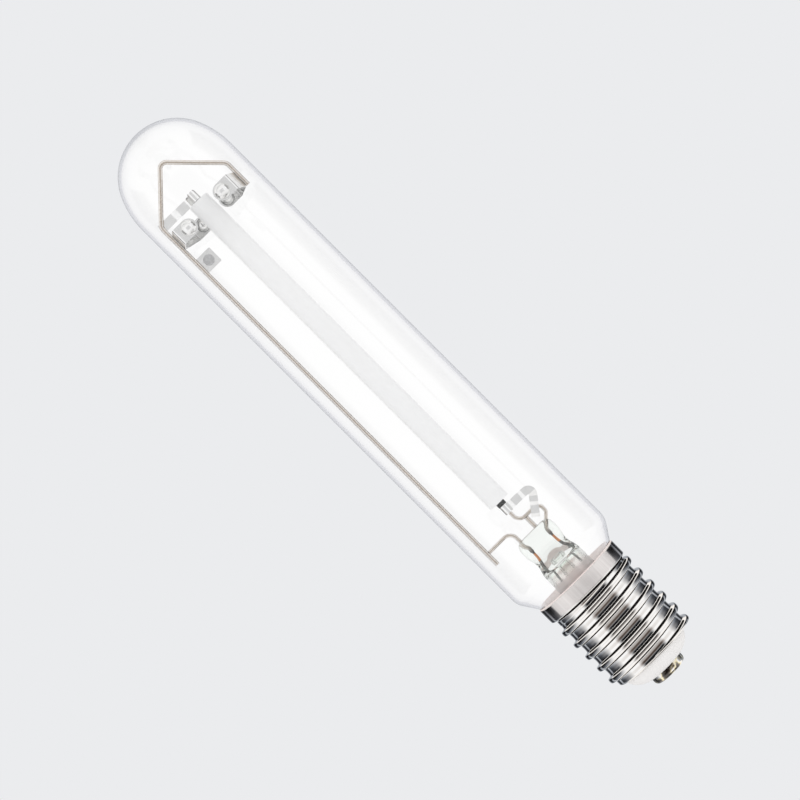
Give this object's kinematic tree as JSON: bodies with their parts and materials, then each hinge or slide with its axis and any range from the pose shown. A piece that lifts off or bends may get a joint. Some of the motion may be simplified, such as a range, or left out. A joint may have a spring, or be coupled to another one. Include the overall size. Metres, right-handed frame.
{
  "type": "high pressure sodium lamp",
  "caption": "Clear tubular discharge lamp with a ceramic arc tube on a wire frame and a large Edison screw cap.",
  "frame": {"origin": "on the lamp's axis, in the flat underside of the centre contact", "axes": "+Z along the lamp's axis from the centre contact to the dome; the wire frame lies in the XZ plane, its long run at -X and its short run at +X; the pictured side faces -Y"},
  "size_m": [0.048, 0.048, 0.292],
  "materials": {
    "clear_glass": "clear hard glass, fire-polished",
    "stem_glass": "clear pressed glass",
    "nickel_shell": "nickel-plated brass, bright",
    "contact_metal": "nickel-plated brass, polished",
    "solder": "soft solder, dull",
    "insulator": "off-white ceramic",
    "cement": "basing cement, matt",
    "frame_metal": "nickel-plated steel wire, satin",
    "seal_metal": "molybdenum, orange where sealed in glass",
    "cap_wire": "nickel wire",
    "alumina": "translucent sintered alumina",
    "niobium": "niobium tube, satin",
    "frit": "black sealing glass",
    "ribbon_metal": "nickel strip, satin",
    "spring_metal": "stainless spring strip, polished",
    "getter_plate": "pressed steel, satin",
    "getter_pellet": "pressed getter powder, matt",
    "tungsten": "tungsten, dull",
    "amalgam": "sodium amalgam bead"
  },
  "bodies": {
    "root": {"amalgam_dose": "amalgam", "arc_tube_body": "alumina", "basing_cement": "cement", "cap_insulator": "insulator", "cap_shell": "nickel_shell", "center_contact": "contact_metal", "center_post": "frame_metal", "contact_lead_wire": "cap_wire", "contact_solder": "solder", "end_strap": "ribbon_metal", "exhaust_tube": "stem_glass", "flex_ribbon": "ribbon_metal", "frame_lead": "frame_metal", "frame_seal_wire": "seal_metal", "frame_wire": "frame_metal", "getter_holder": "getter_plate", "getter_pellet": "getter_pellet", "guide_seal_wire": "seal_metal", "guide_wire": "frame_metal", "left_dome_spring": "spring_metal", "lower_electrode_coil": "tungsten", "lower_electrode_rod": "tungsten", "lower_end_plug": "alumina", "lower_frit_ring": "frit", "lower_niobium_tube": "niobium", "outer_bulb": "clear_glass", "right_dome_spring": "spring_metal", "shell_lead_wire": "cap_wire", "side_solder": "solder", "stem_glass": "stem_glass", "upper_electrode_coil": "tungsten", "upper_electrode_rod": "tungsten", "upper_end_plug": "alumina", "upper_frit_ring": "frit", "upper_niobium_tube": "niobium"}
  },
  "joints": []
}
